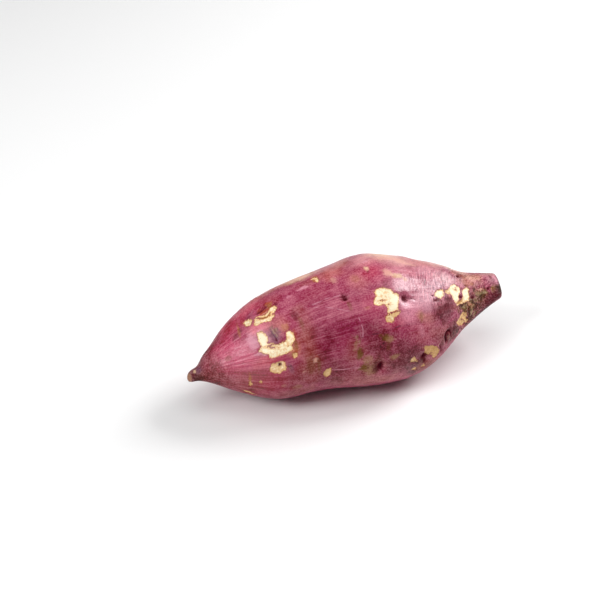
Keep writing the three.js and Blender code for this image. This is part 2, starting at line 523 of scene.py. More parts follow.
SMEARS_AND_HIGHLIGHTS = tuple(
    Smear(Blob(*place), stain, strength)
    for stain, strength, *place in (
        # On the neck: old soil, and where it has dried pale.
        (Stain.SOIL, 0.85, 143.6, 66, 14, 3.6, 10), (Stain.SOIL, 0.9, 144, 72, 12, 4, 14),
        (Stain.MUD, 0.9, 141, 63.6, 9, 1.6, 4), (Stain.MUD, 0.7, 146, 62, 4, 1.2, 20),
        (Stain.MUD, 0.8, 149.2, 59, 3.2, 4), (Stain.MUD, 0.7, 148.4, 66, 3.4, 3),
        (Stain.CLAY, 0.9, 145.2, 71, 3, 1, 10), (Stain.KHAKI, 0.9, 142.6, 67.6, 2.6, 0.8, 10),
        (Stain.KHAKI, 0.8, 147, 68, 2, 0.8), (Stain.MUD, 1, 145.2, 90, 3, 7.6, 26),
        (Stain.MUD, 0.8, 142.8, 78, 2.2, 2.6, 20), (Stain.MUD, 0.9, 147, 100, 3, 4.4, 20),
        (Stain.KHAKI, 0.95, 147.2, 86, 2, 3.6, 24), (Stain.KHAKI, 0.8, 149.6, 97, 2, 4.4, 24),
        (Stain.MUD, 0.7, 150.4, 81, 2.8, 2), (Stain.SOIL, 0.7, 151.4, 97, 3, 2.4),
        (Stain.SOIL, 0.6, 137, 68, 3, 2.6), (Stain.MUD, 0.6, 138.6, 74, 4, 1.4),
        (Stain.SOIL, 0.85, 157, 60, 6.4, 3.2, -8), (Stain.KHAKI, 0.5, 156.6, 55, 5, 1.8),
        (Stain.MUD, 0.6, 152.4, 59, 2.6, 2.6), (Stain.KHAKI, 0.6, 151, 68, 2.8, 1.4, 20),
        (Stain.CLAY, 0.5, 154.6, 74, 4, 1.2, 20), (Stain.KHAKI, 0.55, 153.6, 55, 3.4, 2.6),
        (Stain.DUST, 0.85, 163.8, 61, 3.6, 4), (Stain.OCHRE, 0.5, 163.4, 55, 2.4, 1.8),
        (Stain.PEACH, 0.95, 156, 46.4, 3, 1.3), (Stain.CLAY, 0.8, 159.4, 65, 1.4, 2),
        (Stain.MUD, 0.8, 156, 69, 5.4, 2), (Stain.WINE, 0.8, 160.8, 50, 2.6, 2),
        (Stain.MUD, 0.35, 153, 76, 5, 3), (Stain.WINE, 0.8, 162, 86, 13, 9),
        (Stain.MUD, 0.6, 167.6, 66, 3.4, 5), (Stain.KHAKI, 1, 141.8, 69.6, 3.8, 0.9, 30),
        (Stain.DUST, 1, 143.8, 75, 3.4, 0.9, -20), (Stain.CLAY, 0.9, 146.6, 69, 3.6, 0.8, 40),
        (Stain.DUST, 1, 147.8, 77, 3.8, 1.4, -30), (Stain.MUD, 1, 140.4, 65, 3.4, 1, -10),
        (Stain.MUD, 1, 144.6, 71, 3.8, 1, 50), (Stain.MUD, 1, 149.2, 71, 3.2, 1, 20),
        (Stain.MUD, 1, 145.8, 82, 3.6, 1.2, 30), (Stain.MUD, 0.9, 155.4, 61, 5, 1, -12),
        (Stain.KHAKI, 0.9, 158, 58, 3.6, 0.9, 10),
        # Round the large patch on the shoulder.
        (Stain.RUST, 0.9, 98.8, 50.8, 4, 0.9, -4), (Stain.RUST, 0.6, 93.8, 54, 1.4, 3),
        (Stain.OCHRE, 0.5, 93.4, 39.6, 1.6, 3.4),
        # In the hollow, on the belly and round the crease.
        (Stain.CLAY, 0.5, 112, 59, 5.4, 5, -6), (Stain.SOIL, 0.5, 112.4, 60, 2.2, 5.4, 24),
        (Stain.PINK, 0.22, 111, 74, 2.4, 8), (Stain.SOIL, 1, 80.4, 96, 6.2, 5.6, 24),
        (Stain.SOIL, 0.95, 78, 81.4, 3.2, 6.4), (Stain.DUST, 0.6, 81.4, 88, 5.4, 5),
        (Stain.DUST, 0.65, 83.6, 101, 6, 8), (Stain.SOIL, 1, 91, 71.6, 3.6, 3.2, 8),
        (Stain.SOIL, 0.7, 89, 68.6, 2.4, 1.4), (Stain.DUST, 0.7, 93.6, 74, 4.6, 3.4, 20),
        (Stain.SOIL, 0.5, 92, 80, 2.6, 4.4), (Stain.DUST, 0.8, 94.6, 91, 4.8, 3.2),
        (Stain.WINE, 0.7, 86.8, 98, 5.6, 8.4), (Stain.WINE, 0.35, 99.6, 83, 7, 9),
        (Stain.WINE, 0.4, 98, 98, 8, 5), (Stain.WINE, 0.8, 110.6, 100, 4.4, 6),
        (Stain.MUD, 0.75, 111.6, 101, 3.4, 7.6, 10), (Stain.CLAY, 0.7, 128.9, 92, 1.2, 4.6, 4),
        (Stain.DUST, 0.5, 76.6, 72, 1.6, 5.6, 20), (Stain.SOIL, 0.5, 58.4, 84, 1.8, 9),
        (Stain.SOIL, 0.35, 54.4, 80, 4.6, 11), (Stain.DUST, 0.45, 48, 104, 5, 4),
        (Stain.DUST, 0.35, 40.6, 98, 2.4, 2.6), (Stain.WINE, 0.75, 124.2, 46.6, 5.6, 2),
        (Stain.WINE, 0.9, 131.8, 51, 7, 3.6, -6), (Stain.WINE, 0.85, 128.6, 57.4, 14, 3.6),
        (Stain.WINE, 0.5, 123.6, 61, 8, 3, -16), (Stain.WINE, 0.35, 120.4, 86, 7, 6, 10),
        (Stain.WINE, 0.35, 106, 90, 9, 7), (Stain.RUST, 0.4, 133, 46, 3, 2.2),
        # The peach smear at 120.6 mm, 92 degrees is a painted highlight, a small pale glint by the
        # crease.
        (Stain.WINE, 0.75, 129.4, 88, 9, 6, 10), (Stain.PEACH, 0.9, 120.6, 92, 1.6, 1.3),
        # On top.
        (Stain.SOIL, 0.45, 54.8, 36, 2.2, 9), (Stain.SOIL, 0.6, 78.6, 35, 1.8, 7),
        (Stain.WINE, 0.5, 53.2, 25, 2.8, 8), (Stain.WINE, 0.7, 77.8, 26.4, 3.6, 3.4),
        (Stain.WINE, 0.5, 77.6, 22, 1.2, 3.6), (Stain.CLAY, 0.6, 86.2, 42.6, 3.6, 1.1),
        (Stain.PEACH, 1, 93.6, 1.6, 2.2, 4.4), (Stain.CREAM, 0.9, 93.6, 1.4, 1.2, 2.6),
        (Stain.WINE, 0.7, 93.4, 6.6, 1, 1.6), (Stain.PINK, 0.5, 95.6, 351, 3.6, 1.4, -20),
        (Stain.CLAY, 0.4, 86, 9, 4.4, 5.4), (Stain.PEACH, 0.75, 102.4, 14, 4.8, 5.4),
        (Stain.CREAM, 0.7, 106.6, 18, 5.6, 3.4), (Stain.CREAM, 0.5, 109.6, 22, 3, 2.6),
        (Stain.CLAY, 0.7, 104.4, 19, 2.6, 1.4), (Stain.PEACH, 0.5, 77, 1, 3, 6),
        (Stain.OCHRE, 0.6, 70, 348, 3.2, 5.6, 6), (Stain.PEACH, 0.8, 67, 328, 6, 5),
        (Stain.RUST, 0.6, 72.6, 323, 2.2, 7), (Stain.CLAY, 0.45, 59, 330, 9, 3),
        (Stain.PINK, 0.5, 62.6, 354.6, 6, 2.4), (Stain.PINK, 0.4, 54.4, 358.6, 2.4, 2.2),
        (Stain.PEACH, 0.7, 110, 348, 14, 5, 10), (Stain.CREAM, 0.5, 107, 336, 12, 5),
        (Stain.PEACH, 0.55, 116, 357, 10, 3, 12), (Stain.CLAY, 0.3, 133, 352, 8, 3, 10),
        (Stain.MUD, 0.85, 144.6, 12, 3.6, 2, -30), (Stain.RUST, 0.85, 147.4, 6.4, 4.4, 1.6, -30),
        (Stain.WINE, 0.45, 146, 4, 5.6, 5, -30), (Stain.WINE, 0.8, 147, 32.8, 2.6, 1.4),
        (Stain.PEACH, 0.6, 153, 10, 7, 5), (Stain.CLAY, 0.55, 149, 21, 6, 9, 24),
        (Stain.SOIL, 0.4, 152.4, 38, 3.6, 5.4, 24), (Stain.CLAY, 0.6, 151.6, 26, 3, 3.4),
        (Stain.PEACH, 0.4, 157.4, 16, 2, 3.4), (Stain.WINE, 0.5, 164.9, 8, 1.4, 4),
        (Stain.PINK, 0.5, 167.2, 24, 2.4, 5.6),
        # On the lobe: scabs, bruises, rims and one painted highlight.
        (Stain.RUST, 0.95, 40.6, -0.4, 5.8, 5.8, -8), (Stain.PEACH, 0.6, 41, 2, 4.2, 1.3, -6),
        (Stain.WINE, 0.85, 39, -4, 4.4, 1.3, -26), (Stain.WINE, 0.7, 43.4, -5, 3.4, 1, -14),
        (Stain.OCHRE, 0.6, 44.6, -6, 3.4, 4.4), (Stain.RUST, 0.8, 44.8, -9, 3, 2),
        (Stain.OCHRE, 0.8, 40, 9.6, 8, 3), (Stain.WINE, 0.7, 47.4, -1, 1.6, 3),
        (Stain.BRUISE, 0.7, 41, 36, 5.6, 9.4), (Stain.WINE, 0.3, 39.6, 36, 1.8, 4),
        (Stain.CLAY, 0.75, 46.8, 33, 4, 4.4), (Stain.RUST, 0.5, 50.2, 44, 1.6, 6),
        (Stain.SOIL, 0.6, 48.8, 56, 2.4, 6), (Stain.CLAY, 0.7, 47.6, 63, 3.6, 3.4),
        (Stain.RUST, 0.6, 48.6, 62, 1.6, 2.4), (Stain.BRUISE, 0.5, 44.4, 77, 2.6, 6.4, -20),
        (Stain.RUST, 0.5, 30.2, -2, 1.4, 5), (Stain.OCHRE, 0.6, 27.2, 6, 1.1, 11, 10),
        (Stain.MUD, 0.5, 27.8, 9, 1.4, 4), (Stain.WINE, 0.6, 25, 13, 3.4, 3.6),
        (Stain.OCHRE, 0.6, 26.4, 90, 1.2, 9), (Stain.MUD, 0.5, 27.4, 113, 3, 3),
        # The pale pink smear at 30.6 mm, 34 degrees is a painted highlight on the lobe.
        (Stain.PINK, 0.7, 30.6, 34, 4.4, 9), (Stain.SOIL, 0.4, 19, 46, 2.4, 3),
        (Stain.PEACH, 0.85, 57, 76, 1.8, 2.2), (Stain.RUST, 0.6, 57.6, 73, 1.4, 1.2),
        (Stain.PEACH, 0.5, 50.6, 85, 2.2, 1.2),
        # At the tip.
        (Stain.DUST, 0.7, 0.6, 60, 1.6, 9), (Stain.WINE, 0.5, 2.4, 50, 1.2, 2.4),
        (Stain.CREAM, 0.7, 3.6, 20, 1.6, 2.2), (Stain.BRUISE, 0.7, 5.4, 30, 2.6, 4),
        (Stain.MUD, 0.5, 5, 110, 5, 5),
        # At the back and underneath.
        (Stain.SOIL, 0.8, 92, 290, 5.4, 3.6, -12), (Stain.SOIL, 0.8, 70, 240, 6, 5, 20),
        (Stain.SOIL, 0.7, 118, 262, 5, 4), (Stain.CLAY, 0.6, 40, 240, 5, 3.6, -20),
        (Stain.CLAY, 0.6, 84, 278, 4, 2.6, 30), (Stain.SOIL, 0.8, 150, 250, 7, 5),
        (Stain.OCHRE, 0.7, 156, 300, 5, 3.6, 20), (Stain.DUST, 0.6, 60, 178, 14, 9, 10),
        (Stain.SOIL, 0.6, 96, 182, 10, 8, -14), (Stain.SOIL, 0.7, 84, 216, 6, 5),
        (Stain.DUST, 0.5, 36, 176, 6, 5), (Stain.OCHRE, 0.5, 58, 222, 9, 3, 10),
    )
)

SCRATCHES = (
    Scratch(((60, 21.6), (66, 27), (71, 33), (77, 40.6))),
    Scratch(((61, 21), (69, 20.4), (76, 22))),
    Scratch(((80.6, 50), (81.3, 58), (80.7, 66))),
    Scratch(((62, 91), (70, 94), (78, 96))),
    Scratch(((12.5, 39.5), (15.5, 44.5))),
    Scratch(((84, 66), (92, 67), (99, 64)), Line.BRUISE),
    Scratch(((39.7, 31), (40.9, 42)), Line.BRUISE),
    Scratch(((40.4, 27), (41.7, 40)), Line.STRAW),
    Scratch(((41.2, 27), (42.2, 38)), Line.SOIL),
    Scratch(((42, 28), (43.1, 39)), Line.STRAW),
    Scratch(((42.8, 29), (43.6, 37)), Line.BRUISE),
    Scratch(((75.2, 61), (77, 68.5)), Line.SOIL),
    Scratch(((76.6, 61.5), (78.6, 71)), Line.STRAW),
    Scratch(((78, 62), (79.6, 70)), Line.SOIL),
    Scratch(((43, 71), (45.4, 82)), Line.SOIL),
    Scratch(((140, 62), (142.6, 66.5), (141.4, 70.5)), Line.SOIL),
    Scratch(((143.4, 61), (145.4, 65), (148.6, 66)), Line.SOIL),
    Scratch(((144, 68.4), (147.2, 70.6), (149.2, 75)), Line.STRAW),
    Scratch(((146.4, 60.4), (149, 63.4), (152.4, 63)), Line.STRAW),
    Scratch(((143, 73), (145, 77.6), (148.4, 79.6)), Line.SOIL),
    Scratch(((150, 66.4), (153.4, 68.6), (157, 67.6)), Line.SOIL),
    Scratch(((44.4, 72), (46.4, 80)), Line.BRUISE),
    Scratch(((66, 300), (78, 296), (90, 298))),
    Scratch(((104, 250), (116, 247), (124, 250))),
    Scratch(((44, 268), (56, 270), (66, 275))),
    Scratch(((64, 205), (80, 200), (92, 204))),
)

TINTS_AND_PAINTED_LIGHT = tuple(
    Tint(Blob(*place), colour, strength)
    for colour, strength, *place in (
        # The tip and the flank behind it.
        ("#96595c", 0.95, 2, 20, 22, 60), ("#74342a", 0.9, 2, 95, 22, 9),
        # The dark tints at 14.5 mm, 325 degrees and at 5 mm, 322 degrees are painted shadow on the
        # upper back of the tip, as if another root lay against it.
        ("#b45868", 0.85, 14, 24, 16, 18), ("#6c081c", 0.95, 14.5, 325, 15, 16),
        ("#744046", 0.85, 5, 322, 12, 26), ("#70161a", 0.95, 15, 94, 17, 20),
        ("#90203c", 0.7, 18, 347, 13, 12), ("#c84068", 0.9, 24, 42, 20, 32),
        ("#ae2848", 0.9, 25, 332, 16, 20), ("#923039", 0.9, 27, 104, 22, 24),
        # The pale pink tint at 34.5 mm, 21 degrees is partly the skin's pale colour and partly
        # painted highlight on the lobe.
        ("#e37d8c", 0.85, 34.5, 21, 12, 8), ("#c54f64", 0.85, 36, 332, 18, 16),
        ("#be3a50", 0.85, 35, 64, 14, 7), ("#9c2a42", 0.9, 37, 88, 20, 18),
        # The lobe.
        ("#ba6460", 0.8, 46, 322, 18, 9), ("#a03e4f", 0.8, 46, 348, 12, 14),
        ("#c16d6d", 0.8, 44.5, 29, 12, 12), ("#df8f6c", 0.75, 48, 60, 7, 8),
        ("#b45e6c", 0.6, 57, 29, 11, 12), ("#943e49", 0.85, 47, 90, 16, 18),
        ("#9c5054", 0.8, 46, 118, 26, 12),
        # The middle.
        ("#ac6058", 0.8, 57, 326, 20, 12), ("#e6bca0", 1, 65.5, 327, 17, 13),
        ("#9c4850", 0.8, 64.5, 350, 12, 7), ("#9e4056", 0.7, 66, 8, 18, 14),
        ("#964845", 0.9, 55, 72, 13, 42), ("#7a1134", 0.95, 64.5, 61, 14, 18),
        # The pale tint at 77 mm, 344 degrees, on the upper back edge, is partly the skin's colour
        # and partly painted sheen.
        ("#762634", 0.85, 66, 94, 16, 20), ("#c16a67", 0.85, 77, 344, 15, 15),
        ("#8a1e45", 0.9, 76, 54, 16, 11), ("#8c3c3c", 0.8, 77, 78, 13, 14),
        ("#9c4e57", 0.8, 76, 106, 22, 16), ("#c07670", 0.85, 87, 332, 16, 14),
        ("#c27076", 0.8, 87, 14, 12, 14), ("#c25e74", 0.75, 89, 41, 11, 12),
        ("#771e34", 0.9, 88, 74, 18, 22), ("#7a1436", 0.8, 81, 62, 11, 9),
        ("#6e342a", 0.55, 92, 99, 8, 9), ("#7a3d2b", 0.8, 86, 97, 12, 12),
        # The pale tint at 96 mm, 344 degrees, on the upper back edge, is partly the skin's colour
        # and partly painted sheen.
        ("#d88c92", 0.9, 96, 344, 16, 17), ("#b5465e", 0.9, 95, 9, 13, 14),
        ("#b44b62", 0.7, 96, 60, 12, 8), ("#701c2c", 0.95, 101, 99, 26, 26),
        # The lighter tint at 88 mm, 118 degrees, along the lower edge, is partly painted light
        # bounced up from the floor.
        ("#aa6664", 0.8, 88, 118, 44, 12), ("#7e4341", 0.8, 65, 112, 12, 10),
        ("#5c1c28", 0.85, 107, 113, 13, 12),
        # The shoulder by the neck. Its pale tints on top are partly the skin's pale colour and
        # partly painted highlight, and those on its upper back edge partly painted sheen.
        ("#dca496", 0.9, 110, 336, 24, 22), ("#d69494", 0.85, 112, 358, 20, 11),
        ("#c66c7c", 0.85, 111, 11, 20, 8), ("#c27e8c", 0.85, 113, 29, 16, 10),
        ("#da9aa8", 0.9, 117, 46, 18, 14), ("#d07c90", 0.85, 106, 54, 11, 11),
        ("#a86260", 0.8, 116, 63, 12, 7), ("#a6505e", 0.8, 112, 76, 18, 14),
        ("#9c5159", 0.7, 118, 80, 8, 8), ("#8a3416", 0.9, 116, 112, 16, 12),
        ("#cc7e7a", 0.85, 127, 345, 20, 20), ("#d28896", 0.9, 126, 12, 16, 14),
        ("#c88c9a", 0.8, 127, 30, 12, 7), ("#8e3848", 0.9, 126, 54, 14, 7),
        ("#6e2032", 0.95, 127, 64, 17, 11), ("#944c50", 0.85, 124, 82, 10, 10),
        ("#6c2220", 0.95, 128, 93, 16, 14), ("#d6a29e", 0.9, 136, 340, 16, 11),
        ("#daa6ac", 0.9, 135, 22, 14, 11), ("#822a26", 0.95, 136, 62, 10, 4),
        ("#6a2226", 0.95, 133, 90, 14, 13),
        # The neck.
        ("#d8aea2", 0.9, 147, 336, 17, 11), ("#ac564c", 0.9, 144.5, 4, 9, 7),
        ("#b87072", 0.85, 145, 24, 9, 5), ("#ba7e6e", 0.9, 155, 2, 13, 9),
        ("#a86868", 0.85, 155, 28, 12, 4), ("#85482f", 0.9, 155, 50, 13, 4.6),
        ("#754a28", 0.95, 145, 72, 13, 10), ("#7b4c34", 0.9, 156, 66, 12, 4),
        ("#7a3424", 0.95, 145, 106, 16, 7), ("#7e3a2e", 0.95, 155, 86, 13, 6),
        ("#540c08", 0.95, 157, 118, 20, 8), ("#b28280", 0.9, 165.5, 345, 10, 7),
        ("#b27680", 0.9, 164.5, 22, 9, 8), ("#7c4e3e", 0.95, 165, 55, 8, 4.5),
        ("#560a12", 0.95, 165, 92, 12, 12), ("#4c2c2c", 0.95, 169.6, 62, 5, 12),
        # Round the back and underneath.
        ("#963a58", 0.6, 84, 270, 60, 30), ("#a8506c", 0.6, 40, 270, 26, 26),
        ("#7c4352", 0.7, 120, 262, 30, 24), ("#83505a", 0.7, 66, 190, 80, 44),
        ("#744250", 0.7, 110, 200, 30, 30), ("#8a5a54", 0.7, 158, 250, 20, 30),
    )
)

# Where the skin has kept its waxy gloss; elsewhere it is dull.
WAXY = (
    Blob(124, 14, 56, 42),
    Blob(104, 38, 22, 30),
    Blob(29, 42, 34, 44),
    Blob(100, 335, 70, 20),
    Blob(60, 300, 60, 30),
)

# Where the skin is streaked along the root; elsewhere it is mottled.
STREAKY = (
    Blob(67, 52, 50, 56),
    Blob(34, 70, 34, 52),
    Blob(80, 280, 70, 60),
    Blob(70, 200, 60, 60),
)

# Where the skin is drawn into fine folds across the root, as it is towards the neck. There the
# folds are also painted darker in their valleys and paler on their ridges, as painted shade and
# highlight.
FOLDS = (
    Blob(127, 31, 36, 26),
    Blob(151, 22, 30, 34),
    Blob(150, 90, 34, 60),
    Blob(150, 200, 40, 80),
    Blob(146, 300, 36, 44),
)


# ------ The skin, measured ------


class SkinChart:
    """Where each vertex of a root's skin lies, along it and round it."""

    def __init__(self, mesh: bpy.types.Mesh) -> None:
        """Measure a mesh.

        Args:
            mesh: The skin, in metres.
        """
        flat = np.empty(len(mesh.vertices) * 3, np.float64)
        mesh.vertices.foreach_get("co", flat)
        self.points = flat.reshape(-1, 3) / MM
        mesh.vertices.foreach_get("normal", flat)
        self.normals = flat.reshape(-1, 3).copy()
        self.along = self.points[:, 0] - self.points[:, 0].min()
        middle_y, middle_z = self._middles()
        across = middle_y - self.points[:, 1]
        up = self.points[:, 2] - middle_z
        self.clock = np.degrees(np.arctan2(across, up))
        self.radius = np.hypot(across, up)
        angle = np.radians(self.clock)
        # The skin as if the root were a straight bar as thick as its trunk, so that what runs along
        # it runs together at the thin ends.
        self.rolled = np.stack(
            [self.along, TRUNK_RADIUS * np.sin(angle), TRUNK_RADIUS * np.cos(angle)], axis=1
        )
        # The same, leaned over the way the folds by the neck lean.
        self.leaned = self.rolled.copy()
        self.leaned[:, 0] += self.rolled @ FOLD_LEAN

    def _middles(self) -> tuple[np.ndarray, np.ndarray]:
        """Find the middle of the section at each vertex.

        Returns:
            Its y and its z, for each vertex, in millimetres.
        """
        slice_reach = 2.5  # millimetres to each side of a station
        stations = np.arange(0, self.along.max() + 1, 1.0)
        middles = []
        for station in stations:
            near = self.points[np.abs(self.along - station) < slice_reach, 1:]
            middles.append((near.min(axis=0) + near.max(axis=0)) / 2)
        middle_y, middle_z = np.array(middles).T
        return np.interp(self.along, stations, middle_y), np.interp(self.along, stations, middle_z)

    def level(self, value: float) -> np.ndarray:
        """Give every vertex the same value."""
        return np.full(len(self.along), value, np.float64)

    def local(self, along: float, clock: float) -> tuple[np.ndarray, np.ndarray]:
        """Measure every vertex from one spot on the skin.

        Args:
            along: The spot's millimetres from the tip.
            clock: The spot's degrees round the root.

        Returns:
            Millimetres along the root and millimetres round it, from the spot to each vertex.
        """
        turn = (self.clock - clock + 180) % 360 - 180
        return self.along - along, np.radians(turn) * self.radius

    def share_of_blob(self, blob: Blob) -> np.ndarray:
        """Say how far out each vertex is from the middle of a blob.

        Args:
            blob: The blob.

        Returns:
            0 in the middle, 1 on its outline and more outside.
        """
        ahead, aside = self.local(blob.along, blob.clock)
        turn = math.radians(blob.turn)
        lengthways = ahead * math.cos(turn) + aside * math.sin(turn)
        crossways = aside * math.cos(turn) - ahead * math.sin(turn)
        return np.hypot(lengthways / (blob.length / 2), crossways / (blob.width / 2))

    def cover_of(
        self, blobs: tuple[Blob, ...], edge: float, core: float, least: float
    ) -> np.ndarray:
        """Say how much some blobs cover each vertex.

        Args:
            blobs: The blobs.
            edge: How far out from a blob's middle it starts, as a share of its size.
            core: How far out it covers in full.
            least: The cover outside them all.

        Returns:
            The cover, from least to 1.
        """
        cover = self.level(least)
        for blob in blobs:
            cover = np.maximum(cover, smooth_step(self.share_of_blob(blob), edge, core))
        return cover

    def _pieces(
        self, spots: tuple[Spot, ...], closed: bool
    ) -> Iterator[tuple[np.ndarray, np.ndarray, np.ndarray, np.ndarray]]:
        """Lay the skin round a line out flat, and go along the line.

        Args:
            spots: The spots that the line runs through.
            closed: Whether it runs back to the first.

        Yields:
            The vertices, the start and the end of one straight piece, and the way to each vertex
            from the nearest point of that piece, all in millimetres.
        """
        marked = np.array(spots)
        middle = marked.mean(axis=0)
        ahead, aside = self.local(*middle)
        near = 5.0  # millimetres, where the root's radius is taken
        radius = self.radius[np.hypot(ahead, aside) < near].mean()
        corners = (marked - middle) * (1, math.radians(1) * radius)
        here = np.stack([ahead, aside], axis=1)
        for start, end in zip(corners, np.roll(corners, -1, axis=0) if closed else corners[1:]):
            run = end - start
            share = np.clip((here - start) @ run / (run @ run), 0, 1)
            yield here, start, end, here - (start + share[:, None] * run)

    def depth_in(self, shape: Blob | Outline) -> np.ndarray:
        """Say how many millimetres inside the edge of a shape each vertex is.

        Args:
            shape: The shape.

        Returns:
            The depth, which is below 0 outside the shape.
        """
        if isinstance(shape, Blob):
            return (1 - self.share_of_blob(shape)) * min(shape.length, shape.width) / 2
        distance = self.level(np.inf)
        inside = np.zeros(len(distance), bool)
        for here, start, end, off in self._pieces(shape, closed=True):
            distance = np.minimum(distance, np.hypot(off[:, 0], off[:, 1]))
            between = (start[1] > here[:, 1]) != (end[1] > here[:, 1])
            slope = (end[0] - start[0]) / ((end[1] - start[1]) or 1e-9)
            inside ^= between & (here[:, 0] < start[0] + slope * (here[:, 1] - start[1]))
        return np.where(inside, distance, -distance)

    def from_path(self, path: tuple[Spot, ...]) -> tuple[np.ndarray, np.ndarray]:
        """Measure how far each vertex is from a line on the skin.

        Args:
            path: The spots that the line runs through.

        Returns:
            The distance in millimetres, and the same with a sign for the side of the line.
        """
        distance, side = self.level(np.inf), self.level(1.0)
        for _, start, end, off in self._pieces(path, closed=False):
            run = end - start
            length = np.hypot(off[:, 0], off[:, 1])
            nearer = length < distance
            distance = np.where(nearer, length, distance)
            side = np.where(nearer, np.sign(run[0] * off[:, 1] - run[1] * off[:, 0]), side)
        return distance, distance * side


# ------ The finish ------


class Run(Enum):
    """The way that a pattern runs, by the place on the skin that it follows."""

    EVEN = "even"  # alike in all directions
    ALONG = "rolled"  # along the root, and together at its thin ends
    LEANED = "leaned"  # the same, leaned over like the folds by the neck


@dataclass(frozen=True)
class Pattern:
    """A noise with lumps of a real size.

    Attributes:
        size: The size of a lump, in millimetres, in all directions or in each.
        run: The way that it runs.
        detail: How many finer layers it has.
        shift: Which noise it is.
        wavy: How wavy its lumps are.
        contrast: How much deeper and paler it makes the skin.
    """

    size: float | tuple[float, float, float]
    run: Run = Run.EVEN
    detail: float = 2.0
    shift: float = 0.0
    wavy: float = 0.0
    contrast: float = 0.0


@dataclass(frozen=True)
class RootSkin:
    """Raw sweet potato skin: a thin, dry, purple periderm over cream flesh, grown and then washed.

    It has grown, so nothing in it is straight or even: it is streaked along the root, finely
    grained, and folded across the neck. It has a low natural gloss with a pale waxy bloom. Where it
    has rubbed off, the flesh has a torn brown edge and has dried, from cream to a corky tan.

    Attributes:
        name: What the material is called.
        deep, pale: The skin at its deepest, and under bloom. Patterns go along the step between.
        flesh_fresh, flesh_deep, flesh_corky: Flesh rubbed bare lately, a while ago, long ago.
        torn_edge: The dried edge of the skin round it.
        scar, hole: A pit or crack at its edge, and down in it.
        darkest: How much of its tint the skin keeps at the darkest spot of a pattern.
        bands, streaks, fibres: Colour along the root: broad runs, streaks and single fibres. A
            fibre is about 0.2 mm wide on a real root, and is drawn three times as wide, to show.
        creases: The fine folds across the neck, whose colour is painted shade in their valleys and
            painted highlight on their ridges.
        mottle, grain: Blotches, and cork cells. Those are about 0.1 mm wide on a real root, and
            are drawn as grains of 0.8 mm, to show.
        scar, hole: A pit or crack at its edge, and down in it, where its near-black is partly dark
            tissue and partly painted shade.
        curing, crumbs: How unevenly the bare flesh has dried, and bits of skin left on it.
        frayed: The uneven edge of pits and cracks.
        pebbles: The unevenness that breaks up the gloss.
        gloss_rough, gloss_spread: The roughness, and what streaks, stains and flesh each add.
        ior: The wax's index of refraction.
        specular_dull, specular_waxy: How much the dull skin and the waxy skin mirror.
    """

    name: str = "sweet_potato_skin"
    deep: str = "#7c2c4c"
    pale: str = "#c4808f"
    flesh_fresh: str = "#fff0cc"
    flesh_deep: str = "#f0c288"
    flesh_corky: str = "#c4904e"
    torn_edge: str = "#a45a34"
    scar: str = "#5e1424"
    hole: str = "#260406"
    darkest: float = 0.3
    bands: Pattern = Pattern((30.0, 3.2, 3.2), Run.ALONG, 3.0, 70.0, 0.3, 0.14)
    streaks: Pattern = Pattern((19.0, 1.5, 1.5), Run.ALONG, 3.0, 0.0, 0.5, 0.14)
    fibres: Pattern = Pattern((8.5, 0.62, 0.62), Run.ALONG, 3.0, 40.0, 0.45, 0.18)
    creases: Pattern = Pattern((0.9, 6.5, 6.5), Run.LEANED, 2.0, 61.0, 0.4, 0.6)
    mottle: Pattern = Pattern(4.2, Run.EVEN, 4.0, 9.0, 0.2, 0.25)
    grain: Pattern = Pattern(0.8, Run.EVEN, 2.0, 3.0, 0.2, 0.34)
    ragged: Pattern = Pattern(0.75, detail=3.0, shift=31.0)
    curing: Pattern = Pattern(1.1, detail=3.0, shift=12.0)
    crumbs: Pattern = Pattern(0.6, detail=1.0, shift=77.0)
    frayed: Pattern = Pattern(0.9, shift=52.0)
    pebbles: Pattern = Pattern(0.55, shift=15.0)
    gloss_rough: float = 0.37
    gloss_spread: float = 0.16
    ior: float = 1.5
    specular_dull: float = 0.2
    specular_waxy: float = 1.0

    def material(self) -> bpy.types.Material:
        """Make the material.

        Returns:
            A material that reads the attributes painted on the skin.
        """
        made = bpy.data.materials.new(self.name)
        made.use_nodes = True
        made.node_tree.nodes.clear()
        SkinShader(self, made.node_tree).build()
        return made


